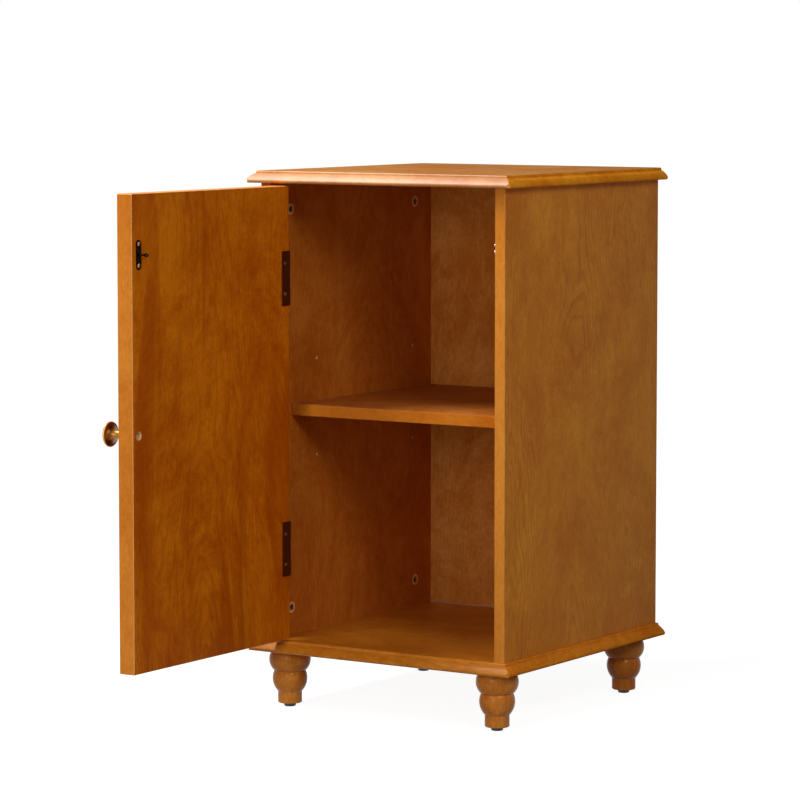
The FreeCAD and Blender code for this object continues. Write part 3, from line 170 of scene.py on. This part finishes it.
# Depths in metres under a board's outer faces.
LIP_WIDTH = 0.0125
CORE_DEPTH, BORE_DEPTH = 0.0002, 0.0015
BAND_SKIN = 0.0006
FLAT_SKIN, FLAT_FADE = 0.0006, 0.0001
RAW_MAPLE = paint(252, 220, 166)
RAW_FIBRES, RAW_SHADE, RAW_ROUGHNESS = 0.4, -0.5, 0.3
DULL_GLOSS = 0.03


def maple(name, node, turn, start, stain, mottle=0.3, figure=0.2, flame=0.2, gloss=0.06, rough=0.45, core=None,
          flat=None, band=None, lips=None):
    """Stained maple. Its tone follows mottling of every size, from a hand's width down to the pores, and
    streaks that wander along the grain, of which the broad ones are redder. The growth rings are cones
    about the heart of the trunk, bent by noise: ring = 150 sqrt(across^2 + (0.02 + 0.1 along)^2) + 16 noise.
    They show in places as thin dark lines. Fibres are the finest noise. A core is the colour that eased
    arrises show, and bores show raw maple. A band is an axis and the stain of the edges across it. A flat
    is the stain of a top face, where the lacquer is rubbed dull. Lips are the stains of the left and the
    right side moulding, which meet the front one in mitres and have their grain from front to back."""
    finish, tree, point = new_finish(name)
    low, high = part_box(node)
    board = step(tree, "ShaderNodeMapping", {"Vector": point, "Rotation": turn, "Location": start}).outputs[0]
    if lips:
        places = split(tree, point)
        to_side = sums(tree, "SUBTRACT", high.x, sums(tree, "ABSOLUTE", places[0]))
        to_mitre = sums(tree, "MINIMUM", sums(tree, "SUBTRACT", places[1], low.y), LIP_WIDTH)
        on_lip = sums(tree, "LESS_THAN", to_side, to_mitre)
        lip = step(tree, "ShaderNodeMapping", {"Vector": point, "Rotation": GRAIN_ENDWISE, "Location": start})
        board = step(tree, "ShaderNodeMix", {0: on_lip, 4: board, 5: lip.outputs[0]}, data_type="VECTOR").outputs[1]

    streaked = sums(tree, "MULTIPLY_ADD", grain_noise(tree, board, *STREAKS), STREAK_SHARE, TONE_SHIFT)
    tone = sums(tree, "MULTIPLY_ADD", grain_noise(tree, board, *MOTTLING), MOTTLING_SHARE, streaked)
    colour = two_tones(tree, tone, stain, mottle)
    broad = spread(tree, grain_noise(tree, board, *BROAD_STREAKS), BROAD_FROM, BROAD_TO)
    colour = mingle(tree, sums(tree, "MULTIPLY", broad, flame), colour, shade(stain, BROAD_SHADE))

    ways = split(tree, board)
    heart_place = sums(tree, "MULTIPLY_ADD", ways[2], HEART_LEAN, HEART_DEPTH)
    radius = length(tree, step(tree, "ShaderNodeCombineXYZ", {0: ways[1], 1: heart_place}).outputs[0])
    bend = sums(tree, "MULTIPLY", grain_noise(tree, board, *RING_BENDS), RINGS_BENT)
    ring = sums(tree, "FRACT", sums(tree, "MULTIPLY_ADD", radius, RINGS_A_METRE, bend))
    line = sums(tree, "MULTIPLY", spread(tree, ring, LINE_FROM, LINE_DARKEST), spread(tree, ring, 1.0, LINE_TO))
    shown = spread(tree, grain_noise(tree, board, *RING_GAPS), GAPS_FROM, GAPS_TO)
    lines = sums(tree, "MULTIPLY", sums(tree, "MULTIPLY", line, shown), figure)
    colour = mingle(tree, lines, colour, shade(stain, RING_SHADE))

    dull = None
    if band:
        axis, edge_stain = band
        from_middle = sums(tree, "SUBTRACT", split(tree, point)[axis], (low[axis] + high[axis]) / 2)
        on_edge = sums(tree, "LESS_THAN", sums(tree, "ABSOLUTE", from_middle), (high - low)[axis] / 2 - BAND_SKIN)
        colour = mingle(tree, on_edge, colour, two_tones(tree, tone, edge_stain, mottle / 2))
    if lips:
        for side, lip_stain in zip(("LESS_THAN", "GREATER_THAN"), lips):
            here = sums(tree, "MULTIPLY", on_lip, sums(tree, side, places[0], 0.0))
            colour = mingle(tree, here, colour, two_tones(tree, tone, lip_stain, mottle))
        dull = on_lip
    if flat:
        on_flat = spread(tree, split(tree, point)[2], high.z - FLAT_SKIN, high.z - FLAT_FADE)
        colour = mingle(tree, on_flat, colour, two_tones(tree, tone, flat, mottle))
        dull = sums(tree, "MAXIMUM", on_flat, on_lip)

    fibre = grain_noise(tree, board, *FIBRES)
    flecks = grain_noise(tree, board, *FLECKS)
    fine = sums(tree, "MULTIPLY_ADD", flecks, FLECK_SHARE, sums(tree, "MULTIPLY_ADD", fibre, FIBRE_SHARE, FINE_LEAST))
    grey = step(tree, "ShaderNodeCombineColor", {0: fine, 1: fine, 2: fine}).outputs[0]
    colour = mingle(tree, 1.0, colour, grey, "MULTIPLY")
    roughness = sums(tree, "MULTIPLY_ADD", fibre, FIBRE_ROUGHNESS, rough - FIBRE_ROUGHNESS / 2)
    if core:
        bare = inside_of(tree, point, node, CORE_DEPTH)
        raw = mingle(tree, inside_of(tree, point, node, BORE_DEPTH), core, RAW_MAPLE)
        raw = mingle(tree, sums(tree, "MULTIPLY", fibre, RAW_FIBRES), raw, shade(core, RAW_SHADE))
        colour = mingle(tree, bare, colour, raw)
        roughness = sums(tree, "MULTIPLY_ADD", bare, RAW_ROUGHNESS, roughness)
    if dull:
        gloss = sums(tree, "MULTIPLY_ADD", dull, DULL_GLOSS - gloss, gloss)
        roughness = sums(tree, "MAXIMUM", dull, roughness)
    bumps = relief(tree, sums(tree, "MULTIPLY_ADD", lines, LINE_SINK, fibre), GRAIN_RELIEF, GRAIN_DEPTH)
    give_surface(tree, Base_Color=colour, Roughness=roughness, Normal=bumps, Specular_IOR_Level=gloss)
    return finish


def dress(names, finish):
    """Gives CAD nodes a finish in their own material slots."""
    for name in names:
        slots = cabinet[name].data.materials
        slots.clear()
        slots.append(finish)


# The flat top's stain is painted darker than the mouldings' stain: painted shade on the top face.
TOP_FLAT_PAINTED_SHADE = paint(170, 111, 54)
MOULDING_STAIN = paint(190, 124, 62)
# Lip stains, left then right: the right lip is painted brighter than the left, as painted light on the right side.
TOP_LIPS_RIGHT_PAINTED_LIGHT = (paint(204, 126, 48), paint(248, 150, 30))
BASE_STAIN = paint(200, 118, 26)
# As on the top, the right lip is painted brighter than the left: painted light on the right side.
BASE_LIPS_RIGHT_PAINTED_LIGHT = (paint(206, 122, 34), paint(228, 130, 30))
dress(["top_board"], maple("top_maple", "top_board", GRAIN_SIDEWAYS, (0.3, -0.17, 0.2), MOULDING_STAIN,
                           gloss=0.6, rough=0.5, flat=TOP_FLAT_PAINTED_SHADE, lips=TOP_LIPS_RIGHT_PAINTED_LIGHT))
dress(["base_board"], maple("base_maple", "base_board", GRAIN_SIDEWAYS, (1.3, -0.13, 0.3), BASE_STAIN,
                            gloss=0.2, rough=0.34, lips=BASE_LIPS_RIGHT_PAINTED_LIGHT))


# Side panels: 15 mm board, veneered with the grain upright. Their front edges are banded in the same
# veneer. The round bores for the cam locks and the shelf pins show the board's pale core.
LEFT_STAIN = paint(194, 109, 31)
RIGHT_STAIN = paint(217, 131, 32)
RIGHT_BAND = paint(210, 131, 45)
dress(["left_side_panel"], maple("left_panel_maple", "left_side_panel", GRAIN_UPRIGHT, (0.9, -0.2, -0.1),
                                 LEFT_STAIN, mottle=0.27, gloss=0.03, core=RAW_MAPLE))
dress(["right_side_panel"], maple("right_panel_maple", "right_side_panel", GRAIN_UPRIGHT, (2.1, -0.15, -0.1),
                                  RIGHT_STAIN, mottle=0.25, figure=0.36, flame=0.1, core=RAW_MAPLE,
                                  band=(0, RIGHT_BAND)))


# Back: a thin panel in the rabbets, held by countersunk screws. Its inner face is veneered as the
# panels are.
BACK_STAIN = paint(194, 119, 45)
dress(["back_panel"], maple("back_maple", "back_panel", GRAIN_BACK, (3.3, 0.03, -0.1), BACK_STAIN, mottle=0.34))

CLOUD_FROM, CLOUD_TO, CLOUD_ROUGHNESS = 0.35, 0.68, 0.18
SKIN_FINENESS, METAL_RELIEF, METAL_DEPTH = 9, 0.08, 0.0001


def metal(name, colour, second, roughness, clouds=220.0, patina=0.5, metallic=1.0, tint=None):
    """A plated or dipped metal: two tones that change in small clouds, with a gloss that changes too. A tint
    is a function that changes the colour by place."""
    finish, tree, point = new_finish(name)
    cloud = grain_noise(tree, point, clouds, clouds, 3.0, 0.6)
    skin = grain_noise(tree, point, clouds * SKIN_FINENESS, clouds * SKIN_FINENESS, 2.0, 0.5)
    share = sums(tree, "MULTIPLY", spread(tree, cloud, CLOUD_FROM, CLOUD_TO), patina)
    tone = mingle(tree, share, colour, second)
    give_surface(tree, Base_Color=tint(tree, point, tone) if tint else tone, Metallic=metallic,
                 Roughness=sums(tree, "MULTIPLY_ADD", cloud, CLOUD_ROUGHNESS, roughness - CLOUD_ROUGHNESS / 2),
                 Normal=relief(tree, skin, METAL_RELIEF, METAL_DEPTH))
    return finish


dress(["back_screws"], metal("bronzed_screw_steel", paint(120, 92, 66), paint(70, 50, 36), 0.42))


# Cam locks, their bolts and the dowels: zinc drums turned in the panels' bores, steel bolts that they
# pull on, and beech dowels. Only the drums' faces show, inside the cabinet.
CAM_RADIUS, CAM_SLOT = 0.0075, 0.0036
# The slot's dark colour is painted shade in the slot.
CAM_FACE, CAM_SLOT_PAINTED_SHADE = paint(190, 138, 84), paint(74, 42, 20)


def slotted(tree, point, tone):
    """Each drum's face: a slot in the middle painted dark as painted shade, inside a paler rim. The drums
    stand alike about the middle of the node's box, so that one distance serves them all."""
    low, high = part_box("cam_locks")
    places = split(tree, point)
    offsets = []
    for axis in (1, 2):
        from_middle = sums(tree, "SUBTRACT", places[axis], (low + high)[axis] / 2)
        drum_place = (high - low)[axis] / 2 - CAM_RADIUS
        offsets.append(sums(tree, "SUBTRACT", sums(tree, "ABSOLUTE", from_middle), drum_place))
    reach = length(tree, step(tree, "ShaderNodeCombineXYZ", dict(enumerate(offsets))).outputs[0])
    faced = mingle(tree, spread(tree, reach, 0.65 * CAM_RADIUS, 0.8 * CAM_RADIUS), CAM_FACE, tone)
    return mingle(tree, spread(tree, reach, 0.8 * CAM_SLOT, 1.1 * CAM_SLOT), CAM_SLOT_PAINTED_SHADE, faced)


# The drums' matt tan colours, here and in CAM_FACE, are a painted reflection of the wood round them in the zinc,
# which is not metallic here.
dress(["cam_locks"], metal("zinc_painted_wood_reflection", paint(244, 204, 146), paint(222, 176, 116), 0.6, metallic=0.0, tint=slotted))
dress(["cam_bolts"], metal("bolt_steel", paint(190, 188, 184), paint(140, 138, 136), 0.3))


def raw_wood(name, start):
    """Unfinished beech: pale, with short fine fibres."""
    finish, tree, point = new_finish(name)
    board = step(tree, "ShaderNodeMapping", {"Vector": point, "Location": start}).outputs[0]
    fibre = grain_noise(tree, board, 900.0, 60.0, 3.0, 0.6)
    give_surface(tree, Base_Color=mingle(tree, spread(tree, fibre, 0.3, 0.7), RAW_MAPLE, shade(RAW_MAPLE, -0.3)),
                 Roughness=0.7, Normal=relief(tree, fibre, 0.2, 0.0003))
    return finish


dress(["wood_dowels"], raw_wood("dowel_beech", (0.2, 0.4, 0.0)))


# Shelf and its pins: one loose board with a banded front edge. It rests on four plain steel pins, which
# its notches hide.
SHELF_STAIN = paint(184, 107, 40)
SHELF_BAND = paint(196, 112, 28)
SHELF_ARRIS = paint(190, 108, 36)
dress(["shelf"], maple("shelf_maple", "shelf", GRAIN_SIDEWAYS, (2.2, -0.2, 0.25), SHELF_STAIN, gloss=0.03,
                      core=SHELF_ARRIS, band=(2, SHELF_BAND)))
dress(["shelf_pins"], metal("pin_nickel", paint(206, 202, 196), paint(160, 156, 150), 0.25))


# Feet: turned from solid maple, stained and lacquered as the boards are, and screwed to the base by
# hanger bolts. Each stands on a black plastic glide that is nailed into its toe.
FOOT_STAIN = paint(215, 130, 42)
for spot, shift in {"front_left": 0.0, "front_right": 0.37, "back_left": 0.71, "back_right": 1.13}.items():
    foot = "foot_" + spot
    dress([foot], maple(foot + "_maple", foot, GRAIN_UPRIGHT, (shift, 0.3, shift), FOOT_STAIN, gloss=0.09,
                        rough=0.2))


def plastic(name, colour, second, roughness):
    """Moulded plastic: an even colour with faint clouds and a fine grained skin."""
    finish, tree, point = new_finish(name)
    cloud = grain_noise(tree, point, 180.0, 180.0, 2.0, 0.5)
    skin = grain_noise(tree, point, 2600.0, 2600.0, 1.0, 0.5)
    give_surface(tree, Base_Color=mingle(tree, cloud, colour, second),
                 Roughness=sums(tree, "MULTIPLY_ADD", cloud, 0.15, roughness),
                 Normal=relief(tree, skin, 0.15, 0.0001))
    return finish


glide_plastic = plastic("glide_plastic_black", paint(30, 26, 24), paint(48, 42, 38), 0.35)
dress(["glide_front_left", "glide_front_right", "glide_back_left", "glide_back_right"], glide_plastic)
dress(["foot_bolts"], metal("foot_bolt_steel", paint(190, 188, 184), paint(140, 138, 136), 0.3))
dress(["foot_inserts"], metal("insert_zinc", paint(198, 180, 140), paint(150, 132, 98), 0.35))


# Door: a slab veneered on both faces, with banded edges whose arrises are eased. The counterbore for
# the knob's screw shows the pale core.
DOOR_STAIN = paint(202, 103, 7)
DOOR_BAND = paint(218, 128, 40)
# The eased arrises show this pale colour: partly the veneer's pale core, partly a painted highlight along the arris
# lines.
DOOR_CORE_AND_ARRIS_HIGHLIGHT = paint(238, 182, 118)
dress(["door_panel"], maple("door_maple", "door_panel", GRAIN_UPRIGHT, (1.6, 0.21, -0.1), DOOR_STAIN,
                            mottle=0.36, figure=0.26, flame=0.65, core=DOOR_CORE_AND_ARRIS_HIGHLIGHT, band=(0, DOOR_BAND)))


# Hinges: two partial-wrap butts in dark bronze, each of a door leaf, a cabinet leaf and a pin. Their
# screws and those of the catch are bronzed too, a little brighter where the driver has rubbed them.
dark_bronze = metal("hinge_dark_bronze", paint(104, 46, 20), paint(68, 30, 14), 0.42, clouds=300.0, metallic=0.7)
for which in ("upper", "lower"):
    dress([which + "_hinge_door_leaf", which + "_hinge_cabinet_leaf", which + "_hinge_pin"], dark_bronze)
rubbed_bronze = metal("screw_rubbed_bronze", paint(176, 148, 114), paint(104, 76, 50), 0.32, clouds=900.0)
dress(["hinge_door_screws", "hinge_cabinet_screws", "strike_screws", "catch_screws"], rubbed_bronze)


# Knob: a turned mushroom in antique brass near the door's free edge, held by a machine screw from
# inside the door.
KNOB_BRASS = paint(214, 160, 84)
RIM_WEAR, NECK_WEAR = 0.85, 0.35


def rubbed(tree, point, tone):
    """The patina is rubbed through to bright brass on the rim and a little on the neck."""
    low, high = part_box("knob")
    offset = vectors(tree, "SUBTRACT", point, (low + high) / 2)
    reach = length(tree, vectors(tree, "MULTIPLY", offset, (0.0, 1.0, 1.0)))
    radius = (high.z - low.z) / 2
    rim = sums(tree, "MULTIPLY", spread(tree, reach, 0.84 * radius, 0.96 * radius), RIM_WEAR)
    neck = sums(tree, "MULTIPLY", spread(tree, reach, 0.55 * radius, 0.3 * radius), NECK_WEAR)
    return mingle(tree, sums(tree, "MAXIMUM", rim, neck), tone, KNOB_BRASS)


dress(["knob"], metal("antique_brass", paint(126, 74, 30), paint(62, 30, 11), 0.36, clouds=70.0, patina=0.9,
                      tint=rubbed))
dress(["knob_screw"], metal("knob_screw_steel", paint(150, 120, 84), paint(100, 76, 52), 0.4))


# Striker: a plate with round ends, screwed to the door's inner face, that carries a spear with a neck
# and a bulb.
strike_bronze = metal("strike_bronze_dark", paint(40, 28, 16), paint(20, 13, 8), 0.34, clouds=500.0)
dress(["strike_plate", "strike_spear"], strike_bronze)


# Catch: a steel bracket on the right panel carries two sprung arms. Each arm has a roller on a riveted
# axle, and the spear's neck comes to rest between the two rollers.
catch_zinc = metal("catch_plated_steel", paint(190, 176, 150), paint(140, 124, 100), 0.32)
roller_steel = metal("roller_polished_steel", paint(228, 222, 214), paint(190, 184, 176), 0.16)
dress(["catch_bracket", "arm_pivot_pins"], catch_zinc)
for which in ("upper", "lower"):
    dress([which + "_roller_arm", which + "_roller_axle"], catch_zinc)
    dress([which + "_roller"], roller_steel)


# Arm springs: plated wire, coiled round the pivot pins. One leg of each spring lies on its arm and
# presses it towards the other arm.
SPRING_WIRE, SPRING_TURNS = 0.0003, 8
STEPS_A_TURN, POINTS_A_RING = 28, 10


def wound_wire(name, sleeve, side):
    """A torsion spring of round wire in a CAD sleeve's box: a straight leg along Y that runs into a coil about
    X. The coil's radius is R = height / 2 - wire. With a = 2 pi turns t and t from 0 to 1, its middle line is
    (low.x + wire + run t, high.y - wire - R + R sin a, middle.z + side R cos a). Each ring of the wire's
    skin lies wire (cos b outward - side sin b X) from that line."""
    low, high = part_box(sleeve)
    reach = (high.z - low.z) / 2 - SPRING_WIRE
    t = np.linspace(0.0, 1.0, SPRING_TURNS * STEPS_A_TURN + 1)
    a = 2 * np.pi * SPRING_TURNS * t
    outward = np.stack([0 * a, np.sin(a), side * np.cos(a)], -1)
    coil = np.array([0.0, high.y - SPRING_WIRE - reach, (low.z + high.z) / 2]) + reach * outward
    coil[:, 0] = low.x + SPRING_WIRE + (high.x - low.x - 2 * SPRING_WIRE) * t
    leg_end = [coil[0, 0], low.y, coil[0, 2]]
    line = np.vstack([leg_end, coil])[:, None, :]
    outward = np.vstack([outward[:1], outward])[:, None, :]
    b = np.linspace(0.0, 2 * np.pi, POINTS_A_RING, endpoint=False)[None, :, None]
    points = line + SPRING_WIRE * (np.cos(b) * outward - side * np.sin(b) * np.array([1.0, 0.0, 0.0]))
    rows, ring = points.shape[:2]
    i, j = np.meshgrid(np.arange(rows - 1), np.arange(ring), indexing="ij")
    after = (j + 1) % ring
    quads = np.stack([i * ring + j, (i + 1) * ring + j, (i + 1) * ring + after, i * ring + after], -1)
    ends = [list(range(ring)), list(range(rows * ring - 1, (rows - 1) * ring - 1, -1))]
    mesh = bpy.data.meshes.new(name)
    mesh.from_pydata(points.reshape(-1, 3).tolist(), [], quads.reshape(-1, 4).tolist() + ends)
    mesh.shade_smooth()
    mesh.materials.append(catch_zinc)
    spring = bpy.data.objects.new(name, mesh)
    bpy.context.scene.collection.objects.link(spring)
    return spring


for which, side in (("upper", 1), ("lower", -1)):
    sleeve = which + "_arm_spring"
    spring = wound_wire(which + "_wound_spring", sleeve, side)
    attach(spring, which + "_arm")
    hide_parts(sleeve)


# Floor, light and camera: a pale floor in a white surround, a key lamp above the door, a fill lamp low in
# front and a third lamp at the right. The camera stands where the photograph's stood.
def show_white(tree):
    """1 for the rays that look at the background: those of the camera, of gloss and through glass."""
    rays = tree.nodes.new("ShaderNodeLightPath").outputs
    seen = sums(tree, "MAXIMUM", rays["Is Camera Ray"], rays["Is Glossy Ray"])
    return sums(tree, "MAXIMUM", seen, rays["Is Transmission Ray"])


FLOOR_HALF = 40.0
FLOOR_GREY = (0.28, 0.28, 0.28, 1.0)
GLOW_NEAR, NEAR_REACH, WHITE_REACH = 0.93, 0.5, 3.0
floor_mesh = bpy.data.meshes.new("floor")
floor_mesh.from_pydata([(-FLOOR_HALF, -FLOOR_HALF, 0), (FLOOR_HALF, -FLOOR_HALF, 0), (FLOOR_HALF, FLOOR_HALF, 0),
                        (-FLOOR_HALF, FLOOR_HALF, 0)], [], [(0, 1, 2, 3)])
floor = bpy.data.objects.new("floor", floor_mesh)
bpy.context.scene.collection.objects.link(floor)
floor_paint, floor_tree, floor_point = new_finish("floor_pale")
matt = step(floor_tree, "ShaderNodeBsdfDiffuse", {"Color": FLOOR_GREY}).outputs[0]
whiteness = spread(floor_tree, length(floor_tree, floor_point), NEAR_REACH, WHITE_REACH, GLOW_NEAR, 1.0)
glow_strength = sums(floor_tree, "MULTIPLY", show_white(floor_tree), whiteness)
glow = step(floor_tree, "ShaderNodeEmission", {"Strength": glow_strength}).outputs[0]
both = step(floor_tree, "ShaderNodeAddShader", {0: matt, 1: glow}).outputs[0]
step(floor_tree, "ShaderNodeOutputMaterial", {0: both})
floor_mesh.materials.append(floor_paint)

WORLD_LIGHT = 0.115
world = bpy.data.worlds.new("surround")
world.use_nodes = True
sky = world.node_tree
sky.nodes.clear()
world_strength = sums(sky, "MULTIPLY_ADD", show_white(sky), 1.0 - WORLD_LIGHT, WORLD_LIGHT)
background = step(sky, "ShaderNodeBackground", {"Color": (1.0, 1.0, 1.0, 1.0), "Strength": world_strength})
step(sky, "ShaderNodeOutputWorld", {0: background.outputs[0]})
bpy.context.scene.world = world


def new_lamp(name, place, aim, size, watts):
    """A rectangular soft lamp at a place, turned to its aim."""
    light = bpy.data.lights.new(name, "AREA")
    light.shape, light.energy = "RECTANGLE", watts
    light.size, light.size_y = size
    lamp = bpy.data.objects.new(name, light)
    lamp.location = place
    lamp.rotation_mode = "QUATERNION"
    lamp.rotation_quaternion = (Vector(aim) - Vector(place)).to_track_quat("-Z", "Y")
    bpy.context.scene.collection.objects.link(lamp)


new_lamp("key_lamp", place=(-0.8, -0.55, 1.9), aim=(0.0, 0.0, 0.6), size=(0.7, 0.4), watts=33.0)
new_lamp("fill_lamp", place=(0.3, -2.2, 0.75), aim=(0.0, 0.0, 0.4), size=(0.9, 0.9), watts=14.5)
new_lamp("side_lamp", place=(2.0, -1.3, 1.7), aim=(0.0, 0.0, 0.35), size=(0.8, 0.8), watts=17.6)

CAMERA_PLACE = (2.52179, -3.86778, 0.85609)
CAMERA_YAW, CAMERA_PITCH = math.radians(32.963), math.radians(4.8045)
lens = bpy.data.cameras.new("camera")
lens.sensor_width, lens.lens, lens.shift_y = 36.0, 161.315, -0.05
lens.clip_start, lens.clip_end = 0.1, 200.0
camera = bpy.data.objects.new("camera", lens)
camera.location = CAMERA_PLACE
camera.rotation_euler = (math.pi / 2 - CAMERA_PITCH, 0.0, CAMERA_YAW)
bpy.context.scene.collection.objects.link(camera)
bpy.context.scene.camera = camera
bpy.context.scene.view_settings.view_transform = "Standard"

bpy.context.view_layer.update()
